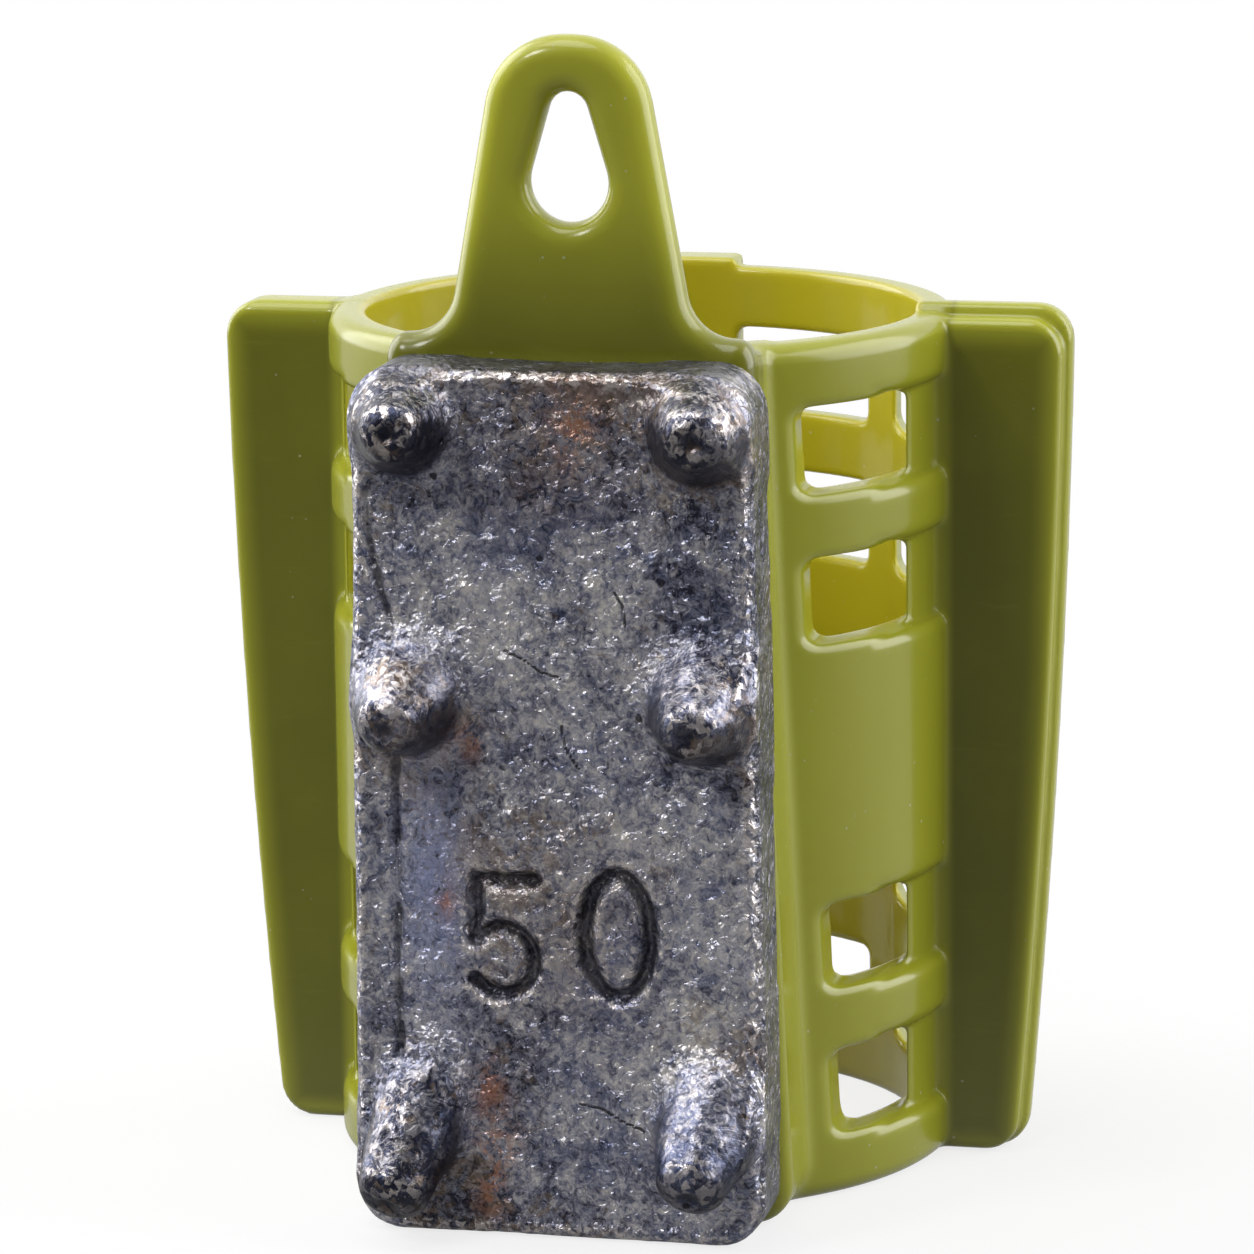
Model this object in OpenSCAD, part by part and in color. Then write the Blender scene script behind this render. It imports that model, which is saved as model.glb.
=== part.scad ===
// Cage feeder: an open tube of hoops and ribs with two wings and a line loop, and a studded lead riveted to its front.
// Frame: +Z runs up the tube's axis, the lead faces -Y and the wings lie along X, in millimetres.
// The origin is on the tube's axis, in the plane of its lower end.

/* [Tube] */
// Outer diameter over the hoops
tube_d = 35; // [33:0.5:40]
// Thickness of the tube's wall at the hoops
wall = 2.1; // [1.7:0.1:2.5]
// Height of each of the four hoops
hoop_h = 3.5; // [3:0.1:4.5]
// Height of each row of windows
window_h = 4.75; // [4.3:0.05:6]
// Height of the wide band in the middle
band_h = 14.5; // [10:0.5:20]
// Radius of the hoops' outer edges
hoop_round = 1.0; // [0.8:0.05:1.2]
// How far the ribs lie behind the hoops' outer surface
rib_recess = 0.5; // [0.3:0.05:0.6]

/* [Ribs and windows] */
// Width of the spine at the back
spine_w = 4; // [3:0.25:6]
// How far the spine stands out from the hoops
spine_proud = 0.5; // [0.3:0.1:1]
// Distance of the two back ribs from the middle
rib_x = 11.6; // [10.5:0.1:12]
// Width of the two back ribs
rib_w = 2.1; // [1.6:0.1:2.6]
// Thickness of the posts that carry the wings
post_t = 1.4; // [1.1:0.1:1.8]
// Radius of the windows' corners
window_round = 0.8; // [0.4:0.1:1]

/* [Front pad] */
// Width of the pad at the rim
pad_top_w = 19.9; // [18:0.1:21]
// Width of the pad at the lower end
pad_bottom_w = 23.9; // [22:0.1:24.5]
// How far the pad's face stands out from the hoops
pad_proud = 0.7; // [0.4:0.1:1.5]
// Radius of the pad's lower corners
pad_round = 2.3; // [1:0.1:3]
// Width of wall between the pad and the front windows
pad_margin = 1.1; // [0.8:0.1:1.4]

/* [Line loop] */
// Height of the loop above the rim
loop_h = 16.8; // [15.5:0.1:20]
// Radius of the loop's top
loop_top_r = 4.6; // [4.2:0.1:5]
// Thickness of the loop
loop_t = 2.6; // [2:0.1:2.7]
// Width of the loop's neck, where its sides would meet the shoulders
neck_w = 13.4; // [12:0.1:14]
// Radius of the hollow between the neck and the shoulders
neck_round = 2.8; // [1:0.1:2.9]
// Height of the shoulders above the rim
shoulder_h = 0.8; // [0.4:0.1:1.2]
// Radius of the shoulders' outer ends
shoulder_round = 0.6; // [0.3:0.1:0.7]
// Width of the flat at the loop's top
loop_flat = 0.2; // [0.1:0.1:0.6]
// Radius of the line eye's upper end
eye_top_r = 1.1; // [0.9:0.05:1.4]
// Radius of the line eye's lower end
eye_bottom_r = 2.15; // [1.8:0.05:2.4]
// Distance between the centres of the eye's two ends
eye_length = 3.7; // [3:0.1:4.2]
// Distance from the loop's top to the upper end of the eye
eye_land = 3; // [2.6:0.1:3.4]

/* [Wings] */
// How far the wings stand out from the tube at the top
wing_top = 6.7; // [5.5:0.1:8]
// How far the wings stand out from the tube at the bottom
wing_bottom = 4.2; // [3.5:0.1:5]
// How far the wings' outer edges bow out
wing_bow = 0.45; // [0.2:0.05:0.8]
// Thickness of the wings
wing_t = 3; // [2.4:0.1:3.4]
// Radius of the wings' corners
wing_round = 2; // [1:0.1:2.5]
// How far the wings rise above the rim
wing_rise = 0.5; // [0.3:0.1:1]
// Ledge at the outer edge of the wings, where their front half is smaller
wing_ledge = 0.35; // [0.2:0.05:0.6]
// Ledge at the top edge of the wings, where their front half is smaller
wing_top_ledge = 0.8; // [0.4:0.1:1.2]

/* [Lead] */
// Width of the lead at the top
lead_top_w = 21.6; // [20:0.1:23]
// Width of the lead at the bottom
lead_bottom_w = 22.7; // [21:0.1:24]
// Thickness of the lead without its studs
lead_t = 4.1; // [3.4:0.1:5]
// Distance of the lead's top below the rim
lead_drop = 0.3; // [0:0.1:2]
// Radius of the lead's corners
lead_corner = 2.6; // [2:0.1:3]
// Radius of the lead's front edges
lead_round = 1.3; // [0.8:0.1:1.6]

/* [Studs] */
// Width of a stud at its base
stud_base_d = 6.4; // [5.5:0.1:7]
// Width of a stud at its tip
stud_tip_d = 2.9; // [2.4:0.1:3.4]
// Height of the studs
stud_h = 4.2; // [2.8:0.1:4.8]
// Height of the flare round a stud's foot
stud_flare_h = 0.75; // [0.4:0.05:1.2]
// Width of a stud above its flare
stud_waist_d = 4.8; // [4:0.1:5.4]
// Height of a stud's round tip
stud_tip_h = 1; // [0.6:0.1:1.4]
// Distance of the studs from the middle
stud_x = 8; // [6.5:0.1:8.2]
// Height of the lowest pair of studs
stud_low = 5.8; // [4.8:0.1:8]
// Lean of the lowest pair of studs towards the lead's lower end, in degrees
stud_lean = 30; // [0:5:35]
// Height of the middle pair of studs
stud_mid = 28.6; // [18:0.2:32]
// Distance of the top pair of studs below the lead's top
stud_top_drop = 3.1; // [2.8:0.1:7]

/* [Pegs] */
// Diameter of the lead's two pegs
peg_d = 3.2; // [2.6:0.1:3.6]
// Diameter of the peened peg heads
peg_head_d = 5.4; // [4.6:0.1:6]
// Thickness of the peened peg heads
peg_head_t = 1; // [0.7:0.1:1.1]
// Web of the pad between the lead and a peg head
peg_web = 1.5; // [1.2:0.1:1.6]
// Height of the lower peg
peg_low = 13; // [9:0.5:16]
// Distance of the upper peg below the rim
peg_high_drop = 13; // [9:0.5:16]
// Clearance round the pegs and their heads
peg_gap = 0.1; // [0.05:0.05:0.2]

/* [Hidden] */
$fn = 64;

tube_r = tube_d / 2;
bore_r = tube_r - wall;
rib_r = tube_r - rib_recess;
row = hoop_h + window_h;
window_rows = 4;
tube_h = window_rows * row + band_h;
// Each hoop as [lower edge, upper edge], from the bottom up, with the wide band in the middle
hoops = [
    [0, hoop_h],
    [row, row + hoop_h],
    [2 * row, 2 * row + band_h],
    [2 * row + band_h + window_h, 3 * row + band_h],
    [tube_h - hoop_h, tube_h],
];
// Inner face of the posts, where the outer windows end
post_x = tube_r - post_t;
pad_y = tube_r + pad_proud;
// The pad's body ends inside the wall at the pad's widest place
pad_back = sqrt(pow((bore_r + tube_r) / 2, 2) - pow(pad_bottom_w / 2, 2));
lead_y = pad_y + lead_t;
lead_h = tube_h - lead_drop;
loop_z = tube_h + loop_h;
peg_heights = [peg_low, tube_h - peg_high_drop];
// Each pair of studs as [height, lean], from the bottom up
stud_pairs = [[stud_low, stud_lean], [stud_mid, 0], [lead_h - stud_top_drop, 0]];
// Overshoot of a cut past the face that it leaves by
cut = 1;
hull_fn = 32;
corner_steps = 6;
bow_steps = 12;

function unit(v) = v / norm(v);
function mix(a, b, t) = a + (b - a) * t;
function pad_half(z) = mix(pad_bottom_w, pad_top_w, z / tube_h) / 2;
function wing_edge(z) = tube_r + mix(wing_bottom, wing_top, z / tube_h) + wing_bow * 4 * z / tube_h * (1 - z / tube_h);

// Corner p of an outline between its neighbours a and b, rounded to radius r
function corner(a, p, b, r) =
    r == 0 ? [p] :
    let (
        u = unit(a - p),
        v = unit(b - p),
        half = acos(u * v) / 2,
        c = p + unit(u + v) * r / sin(half),
        s = p + u * r / tan(half) - c,
        e = p + v * r / tan(half) - c,
        from = atan2(s.y, s.x),
        turn = atan2(e.y, e.x) - from,
        sweep = turn > 180 ? turn - 360 : turn < -180 ? turn + 360 : turn
    )
    [for (i = [0:corner_steps]) let (t = from + sweep * i / corner_steps) c + r * [cos(t), sin(t)]];

// Outline from a list of [x, y, corner radius]
function rounded(list) =
    let (n = len(list), p = [for (q = list) [q.x, q.y]])
    [for (i = [0:n - 1]) each corner(p[(i + n - 1) % n], p[i], p[(i + 1) % n], list[i].z)];

function mirrored(right) = concat(right, [for (i = [len(right) - 1:-1:0]) [-right[i].x, right[i].y, right[i].z]]);

// Extrudes an outline drawn in X and Z along Y, from y0 to y1
module along_y(y0, y1) {
    translate([0, y1, 0]) rotate([90, 0, 0]) linear_extrude(height = y1 - y0) children();
}

module both_sides() {
    children();
    mirror([1, 0, 0]) children();
}

// Half section of one hoop with rounded outer edges
module hoop_section(z0, z1) {
    translate([0, z0]) square([tube_r - hoop_round, z1 - z0]);
    translate([0, z0 + hoop_round]) square([tube_r, z1 - z0 - 2 * hoop_round]);
    for (z = [z0 + hoop_round, z1 - hoop_round]) translate([tube_r - hoop_round, z]) circle(r = hoop_round);
}

// The tube as a solid of revolution, with grooves between its hoops
module hooped_tube() {
    rotate_extrude() {
        translate([0, hoop_round]) square([rib_r, tube_h - 2 * hoop_round]);
        for (h = hoops) hoop_section(h[0], h[1]);
    }
}

// Pad that carries the lead, from its flat face back to the tube's wall
module front_pad() {
    along_y(-pad_y, -pad_back) polygon(rounded(mirrored([
        [pad_bottom_w / 2, 0, pad_round],
        [pad_top_w / 2, tube_h, 0],
    ])));
}

// Flat plate in the plane of the pad that rises to the line loop
module loop_plate() {
    lean = atan2(neck_w / 2 - loop_top_r, loop_h - loop_top_r - shoulder_h);
    top_half = loop_top_r * tan((90 - lean) / 2) + loop_flat / 2;
    along_y(-pad_y, -pad_y + loop_t) difference() {
        polygon(rounded(mirrored([
            [pad_bottom_w / 2, 0, pad_round],
            [pad_top_w / 2, tube_h + shoulder_h, shoulder_round],
            [neck_w / 2, tube_h + shoulder_h, neck_round],
            [top_half, loop_z, loop_top_r],
        ])));
        line_eye();
    }
}

// Teardrop eye for the line: two round ends joined by their common tangents
module line_eye() {
    lean = asin((eye_bottom_r - eye_top_r) / eye_length);
    top = [0, loop_z - eye_land - eye_top_r];
    bottom = top - [0, eye_length];
    side = [cos(lean), sin(lean)];
    other = [-side.x, side.y];
    translate(top) circle(r = eye_top_r);
    translate(bottom) circle(r = eye_bottom_r);
    polygon([
        bottom + eye_bottom_r * side, top + eye_top_r * side,
        top + eye_top_r * other, bottom + eye_bottom_r * other,
    ]);
}

// Spine at the back, a little proud of the hoops and of the rim
module spine() {
    translate([-spine_w / 2, bore_r - cut, 0])
        cube([spine_w, wall + cut + spine_proud, tube_h + spine_proud]);
}

// Outline of a wing whose edges lie the given steps inside the full outline
module wing_outline(side_ledge, top_ledge) {
    top = tube_h + wing_rise - top_ledge;
    inner = [bore_r - cut, 0];
    edge = [for (i = [1:bow_steps - 1]) let (z = top * i / bow_steps) [wing_edge(z) - side_ledge, z, 0]];
    polygon(rounded(concat(
        [[inner.x, 0, 0], [wing_edge(0) - side_ledge, 0, wing_round]],
        [for (p = edge) if (p.y > wing_round * 1.5 && p.y < top - wing_round * 1.5) p],
        [[wing_edge(top) - side_ledge, top, wing_round], [inner.x, top, 0]]
    )));
}

// A wing is two plates back to back: the front one is the smaller
module wing() {
    along_y(-wing_t / 2, wing_t / 4) wing_outline(wing_ledge, wing_top_ledge);
    along_y(0, wing_t / 2) wing_outline(0, 0);
}

// Window cut straight along Y between the slanted side at the pad and the post
module front_window(z0) {
    z1 = z0 + window_h;
    along_y(-pad_y, cut) polygon(rounded([
        [pad_half(z0) + pad_margin, z0, window_round],
        [post_x, z0, window_round / 2],
        [post_x, z1, window_round / 2],
        [pad_half(z1) + pad_margin, z1, window_round],
    ]));
}

// Window cut straight along Y at the back, from x0 to x1
module back_window(x0, x1, z0) {
    along_y(-cut, tube_r + spine_proud + cut) polygon(rounded([
        [x0, z0, window_round],
        [x1, z0, window_round / 2],
        [x1, z0 + window_h, window_round / 2],
        [x0, z0 + window_h, window_round],
    ]));
}

// All the windows of one row
module window_row(z0) {
    both_sides() {
        front_window(z0);
        back_window(spine_w / 2, rib_x - rib_w / 2, z0);
        back_window(rib_x + rib_w / 2, post_x, z0);
    }
}

// A peg's shank and head as a stepped cylinder along Y, grown by a clearance all round
module peg(gap, tail) {
    rotate([-90, 0, 0]) {
        translate([0, 0, -pad_y - tail]) cylinder(d = peg_d + 2 * gap, h = peg_web + tail + peg_head_t / 2);
        translate([0, 0, -pad_y + peg_web]) children();
    }
}

module peg_head() {
    cylinder(d1 = peg_head_d, d2 = peg_head_d - peg_head_t, h = peg_head_t);
}

module cage_body() {
    color("olivedrab") difference() {
        union() {
            hooped_tube();
            front_pad();
            loop_plate();
            spine();
            both_sides() wing();
        }
        translate([0, 0, -cut]) cylinder(r = bore_r, h = tube_h + shoulder_h + wing_rise + spine_proud + 2 * cut);
        for (i = [0:len(hoops) - 2]) window_row(hoops[i][1]);
        for (z = peg_heights) translate([0, 0, z])
            peg(peg_gap, cut) cylinder(d = peg_head_d + 2 * peg_gap, h = wall + pad_proud);
    }
}

// Revolved section of a stud: a flared base, a cone and a blunt round tip
module stud() {
    tip = stud_tip_d / 2;
    sink = lead_t / 2;
    rotate_extrude() polygon(concat(
        [[0, -sink], [stud_base_d / 2, -sink], [stud_base_d / 2, 0]],
        [[stud_waist_d / 2, stud_flare_h]],
        [for (i = [0:corner_steps - 1]) let (t = 90 * i / corner_steps)
            [tip * cos(t), stud_h - stud_tip_h + stud_tip_h * sin(t)]],
        [[0, stud_h]]
    ));
}

// The lead's block: one corner at each end of its two sides, rounded on the front edges
module lead_block() {
    hull() both_sides() for (end = [[lead_bottom_w / 2, 0, 1], [lead_top_w / 2, lead_h, -1]])
        translate([end.x - lead_corner, -pad_y, end.y + end.z * lead_corner]) rotate([90, 0, 0]) {
            cylinder(r = lead_corner, h = lead_t - lead_round, $fn = hull_fn);
            translate([0, 0, lead_t - lead_round]) rotate_extrude($fn = hull_fn)
                translate([lead_corner - lead_round, 0]) circle(r = lead_round, $fn = hull_fn);
        }
}

// The six studs, kept within the outline of the lead's block
module studs() {
    intersection() {
        both_sides() for (p = stud_pairs)
            translate([stud_x, -lead_y, p.x]) rotate([90 + p.y, 0, 0]) stud();
        along_y(-lead_y - stud_h - cut, -pad_y) polygon(rounded(mirrored([
            [lead_bottom_w / 2, 0, lead_corner],
            [lead_top_w / 2, lead_h, lead_corner],
        ])));
    }
}

module lead_weight() {
    color("slategray") union() {
        lead_block();
        studs();
        for (z = peg_heights) translate([0, 0, z]) peg(0, cut) peg_head();
    }
}

cage_body();
lead_weight();
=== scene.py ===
"""Cage feeder: the moulded cage and the cast lead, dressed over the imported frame."""

import math

import bpy
import numpy as np
import openvdb
from mathutils import Matrix, Vector


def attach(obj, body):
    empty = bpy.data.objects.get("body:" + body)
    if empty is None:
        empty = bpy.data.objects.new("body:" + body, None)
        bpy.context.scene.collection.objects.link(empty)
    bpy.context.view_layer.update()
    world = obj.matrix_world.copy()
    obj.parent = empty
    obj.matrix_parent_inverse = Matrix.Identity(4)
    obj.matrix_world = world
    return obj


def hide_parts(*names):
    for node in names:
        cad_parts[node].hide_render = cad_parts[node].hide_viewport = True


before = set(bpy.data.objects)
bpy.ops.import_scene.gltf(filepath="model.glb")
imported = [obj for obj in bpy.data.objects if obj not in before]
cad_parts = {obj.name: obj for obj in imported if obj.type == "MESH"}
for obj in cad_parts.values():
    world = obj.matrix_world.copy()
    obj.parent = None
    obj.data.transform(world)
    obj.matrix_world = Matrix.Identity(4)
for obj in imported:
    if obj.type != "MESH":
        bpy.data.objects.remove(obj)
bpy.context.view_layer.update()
MM = 0.001

# Sizes of the cage, in millimetres
TUBE_R = 17.5
TUBE_H = 47.5
BORE_R = 15.4
BORE_TOP = 49.5
ROW_STARTS = (3.5, 11.75, 31.0, 39.25)
WINDOW_H = 4.75
WINDOW_WIDE_CORNER = 0.8
WINDOW_TIGHT_CORNER = 0.5
RIB_R = 16.9
RIB_IN = 10.55
RIB_OUT = 12.65
POST_X = 15.75
POST_OVERLAP = 0.4
SPINE_X = 2.0
SPINE_FRONT = 14.5
SPINE_BACK = 18.0
SPINE_RISE = 0.5
PAD_Y = -18.2
PAD_BACK = -11.3
PAD_TOP = 9.95
PAD_BOTTOM = 11.95
PAD_MARGIN = 1.1
LOOP_T = 2.6
LOOP_FOOT = 40
LOOP_INSET = 0.4
LOOP_SHOULDER = TUBE_H + 0.8
LOOP_NECK = 6.7
LOOP_TIP = 3.85
LOOP_TOP = 64.3
EYE_Z = 56.5
EYE_LENGTH = 3.7
EYE_LOW_R = 2.15
EYE_HIGH_R = 1.1
WING_T = 3.0
WING_ROOT = 14.4
WING_FOOT = 4.2
WING_FLARE = 2.5
WING_BOW = 0.45
WING_CORNER = 2.0
WING_INSET = 0.3
WING_TOP = 47.4
WING_LEDGE_TOP = 48.0
WING_BEVEL = 48.45
PEG_HEIGHTS = (13.0, 34.5)
PEG_HOLE_R = 1.7
POCKET_R = 2.8
POCKET_FLOOR = -16.7
SHARP = 0.01

# Rounding of the cage's edges and the width of its fillets, in millimetres
HOOP_EDGE = 1.0
FRONT_WINDOW_EDGE = 0.5
BACK_WINDOW_EDGE = 0.4
PAD_EDGE = 0.9
LOOP_EDGE = 1.15
EYE_EDGE = 1.3
SPINE_EDGE = 0.35
WING_EDGE = 0.5
BORE_EDGE = 0.35
FRONT_FILLET = 0.5
SPINE_FILLET = 0.4
WING_FILLET = 0.3

# Sizes of the lead, in millimetres
LEAD_Y = -22.3
LEAD_BACK = PAD_Y + 1.3
LEAD_TOP = 10.8
LEAD_BOTTOM = 11.35
LEAD_H = 47.2
LEAD_CORNER = 2.6
LEAD_EDGE = 0.65
FIGURE_HALF = 0.56
FIGURE_DEPTH = 0.62
PEG_R = 1.6
PEG_FRONT = -18.6
PEG_BACK = -16.3
PEG_HEAD_R = 2.65
PEG_HEAD_BACK = -15.75
PEG_HEAD_EDGE = 0.4

# Rounding of a stud's tip, as a share of its radius there
TIP_ROUNDING = 0.55

# Surface forms of the lead, in millimetres: dimples and feet of the studs, rim bead, fold and number's lips
DIMPLE_OUT = 0.35
DIMPLE_R = 0.6
DIMPLE_EDGE = 0.3
STUD_FILLET = 1.1
RIM_H = 0.16
RIM_IN = 0.55
RIM_WIDTH = 0.28
FOLD_DEPTH = 0.3
FOLD_WIDTH = 0.2
FOLD_WANDER = 0.12
LIP_H = 0.09
LIP_OUT = 0.1
LIP_WIDTH = 0.16

# The figures of the number, in millimetres: the bowl of the 5, and the 0
BOWL_X = -3.0
BOWL_Z = 15.3
BOWL_R = 1.81
OVAL_X = 3.37
OVAL_Z = 16.9
OVAL_HALF_WIDTH = 1.78
OVAL_HALF_HEIGHT = 3.32

# Uneven cast faces of the lead: height and size of the lumps in millimetres, and their seed
LEAD_LUMPS = ((0.11, 4.5, 1), (0.055, 1.6, 2), (0.035, 0.6, 3))
FOLD_LUMP_SIZE = 1.1
FOLD_LUMP_SEED = 5

# Spacing of the points on which each piece is worked out, in millimetres, and the most triangles it keeps
CAGE_STEP = 0.22
LEAD_STEP = 0.16
MOST_TRIANGLES = 190000

# Colours of the plastic, as sRGB numbers out of 255
OLIVE = (114, 116, 20)
OLIVE_LIGHT = (124, 126, 26)
# Painted light: the paler olive where light seems to shine through the thin moulding
OLIVE_PAINTED_LIGHT = (194, 196, 58)
# Painted light: the yellower olive of the bore's inside, as light glowing through the wall
OLIVE_INSIDE_LIGHT = (200, 188, 38)
OLIVE_FLOW = (160, 166, 70)
DUST = (222, 222, 196)

# Colours of the lead, as sRGB numbers out of 255, first its tones with their places on the ramp
LEAD_TONES = ((0.12, (46, 48, 66)), (0.42, (144, 146, 166)), (0.64, (208, 206, 214)), (0.92, (255, 250, 244)))
COOL_TINT = (128, 142, 188)
WARM_TINT = (172, 148, 120)
BROWN = (138, 114, 94)
# A pale bluish patina, partly painted lighter as light falling on the lead's left
BLUE_AND_LIGHT = (174, 184, 230)
RUST = (196, 128, 84)
# Rubbed metal on high places, which also carries part of the painted highlight on the studs
BARE_AND_HIGHLIGHT = (255, 244, 238)
# Light flecks, partly painted glints
FLECK_AND_GLINT = (255, 246, 236)
# Painted highlight: the near-white put on the upper sides of the studs
CROWN_HIGHLIGHT = (252, 246, 242)
STROKE = (40, 42, 56)
# Painted shade, for the studs' flanks, the top, the sides and the hollows
SHADE = (40, 42, 54)
CRACK = (24, 24, 30)

# Camera: focal length and image width in pixels, sensor width and place in millimetres, and two axes
FOCAL_PIXELS = 6246.5
IMAGE_PIXELS = 1254
SENSOR = 36
CAMERA_PLACE = (77.008, -335.988, 98.11)
CAMERA_RIGHT = (0.97445, 0.22437, -0.01027)
CAMERA_UP = (-0.03419, 0.19337, 0.98053)

# Soft lamps: name, place and side in millimetres, and watts
LAMPS = (
    ("key", (-200, -260, 300), 90, 0.36),
    ("left", (-380, 90, 200), 400, 1.25),
    ("right", (370, 95, 200), 400, 1.5),
    ("upper_left", (-283, 40, 313), 300, 0.32),
    ("top", (-60, -90, 425), 240, 0.55),
)
LAMP_AIM = (0, 0, 30)
WORLD_LIGHT = 0.23
FLOOR_HALF = 3000


def blend_low(a, b, k):
    """Lower of two distances, less a parabola k wide where they are close, which makes a fillet."""
    near = np.maximum(k - np.abs(a - b), 0) / k
    return np.minimum(a, b) - near * near * (k / 4)


def blend_high(a, b, k):
    """Higher of two distances with a rounded edge: the fillet of the two turned inside out."""
    return -blend_low(-a, -b, k)


def carve(body, tool, k):
    """Body with a tool's shape taken out of it, with an edge about k wide."""
    return blend_high(body, -tool, k)


def rounded_pair(a, b, r):
    """Distance to the region where a and b are both below 0, with its edge rounded to radius r."""
    a, b = a + r, b + r
    return np.hypot(np.maximum(a, 0), np.maximum(b, 0)) + np.minimum(np.maximum(a, b), 0) - r


def between(v, low, high):
    """Distance to the layer from low to high."""
    return np.abs(v - (low + high) / 2) - (high - low) / 2


def ramp(v, low, width):
    """0 below low, 1 above low plus width, straight between."""
    return np.clip((v - low) / width, 0, 1)


def bell(*offsets):
    """1 in the middle, fading as a bell curve of offsets that are given in widths."""
    return np.exp(-sum(offset ** 2 for offset in offsets))


def rounded_outline(corners):
    """Closed outline through corners [x, z, radius]: each corner is an arc that touches both its sides."""
    p = np.array(corners, float)
    before = np.roll(p, 1, axis=0)[:, :2] - p[:, :2]
    after = np.roll(p, -1, axis=0)[:, :2] - p[:, :2]
    u = before / np.linalg.norm(before, axis=1)[:, None]
    v = after / np.linalg.norm(after, axis=1)[:, None]
    half = np.arccos(np.clip((u * v).sum(1), -1, 1)) / 2
    reach = p[:, 2] / np.tan(half)
    middle = (u + v) / np.linalg.norm(u + v, axis=1)[:, None]
    centre = p[:, :2] + middle * (p[:, 2] / np.sin(half))[:, None]
    start = p[:, :2] + u * reach[:, None] - centre
    end = p[:, :2] + v * reach[:, None] - centre
    a = np.arctan2(start[:, 1], start[:, 0])
    turn = (np.arctan2(end[:, 1], end[:, 0]) - a + np.pi) % (2 * np.pi) - np.pi
    t = a[:, None] + turn[:, None] * np.linspace(0, 1, 9)
    arcs = centre[:, None, :] + p[:, 2][:, None, None] * np.stack([np.cos(t), np.sin(t)], -1)
    return arcs.reshape(-1, 2)


def mirrored(corners):
    """Outline corners of the right half followed by their mirror images."""
    return list(corners) + [(-x, z, r) for x, z, r in reversed(corners)]


def outline_distance(outline, x, z):
    """Signed distance to a closed outline: the least distance to its segments, negative where a ray to +X
    crosses it an odd number of times."""
    a = outline
    b = np.roll(outline, -1, axis=0)
    keep = np.linalg.norm(b - a, axis=1) > 1e-9
    a, b = a[keep], b[keep]
    e = b - a
    px = x[..., None] - a[:, 0]
    pz = z[..., None] - a[:, 1]
    t = np.clip((px * e[:, 0] + pz * e[:, 1]) / (e * e).sum(1), 0, 1)
    d = np.sqrt(((px - t * e[:, 0]) ** 2 + (pz - t * e[:, 1]) ** 2).min(-1))
    crossed = (a[:, 1] <= z[..., None]) != (b[:, 1] <= z[..., None])
    rise = np.where(np.abs(e[:, 1]) < 1e-12, 1e-12, e[:, 1])
    inside = (crossed & (px < pz * e[:, 0] / rise)).sum(-1) % 2 == 1
    return np.where(inside, -d, d)


def path_distance(path, x, z):
    """Distance in the X-Z plane to an open path of straight segments."""
    a, b = path[:-1], path[1:]
    e = b - a
    px = x[..., None] - a[:, 0]
    pz = z[..., None] - a[:, 1]
    t = np.clip((px * e[:, 0] + pz * e[:, 1]) / (e * e).sum(1), 0, 1)
    return np.sqrt(((px - t * e[:, 0]) ** 2 + (pz - t * e[:, 1]) ** 2).min(-1))


class Block:
    """A box of evenly spaced points in millimetres, on which distances are worked out."""

    def __init__(self, low, high, step):
        self.low = np.array(low, np.float32)
        self.step = step
        axes = [np.arange(a, b, step, dtype=np.float32) for a, b in zip(low, high)]
        self.x = axes[0][:, None, None]
        self.y = axes[1][None, :, None]
        self.z = axes[2][None, None, :]
        self.flat_x, self.flat_z = np.meshgrid(axes[0], axes[2], indexing="ij")

    def prism(self, outline, both=False):
        """Distance to an outline in X and Z that runs along all of Y, on its own side or on both sides."""
        x = np.abs(self.flat_x) if both else self.flat_x
        return outline_distance(outline, x, self.flat_z).astype(np.float32)[:, None, :]

    def groove(self, path):
        """Distance to a path in X and Z that runs along all of Y."""
        return path_distance(path, self.flat_x, self.flat_z).astype(np.float32)[:, None, :]

    def sample(self, field, points):
        """Values of a field at any points, mixed from the eight grid points around each."""
        at = np.clip((points - self.low) / self.step, 0, np.array(field.shape) - 1.001)
        i = at.astype(int)
        f = at - i
        total = 0
        for corner in range(8):
            o = np.array([corner & 1, corner >> 1 & 1, corner >> 2 & 1])
            weight = np.prod(np.where(o, f, 1 - f), axis=1)
            j = i + o
            total = total + weight * field[j[:, 0], j[:, 1], j[:, 2]]
        return total

    def swell(self, field, points, reach):
        """How far a surface swells at points: the mean of its field at six places around each, per reach."""
        total = 0
        for axis in np.eye(3) * reach:
            total = total + self.sample(field, points + axis) + self.sample(field, points - axis)
        return total / (6 * reach)

    def slope(self, field, points):
        """Unit direction in which a field rises fastest at points, from values a step away on each axis."""
        steps = np.eye(3) * self.step
        rise = [self.sample(field, points + axis) - self.sample(field, points - axis) for axis in steps]
        rise = np.stack(rise, -1)
        return rise / np.maximum(np.linalg.norm(rise, axis=1), 1e-6)[:, None]

    def skin(self, field):
        """Surface where a field is 0, as points in millimetres and faces."""
        grid = openvdb.FloatGrid(1.0)
        grid.copyFromArray(np.ascontiguousarray(field, np.float32))
        points, triangles, quads = grid.convertToPolygons(isovalue=0.0, adaptivity=0.0)
        return points * self.step + self.low, triangles, quads


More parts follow.
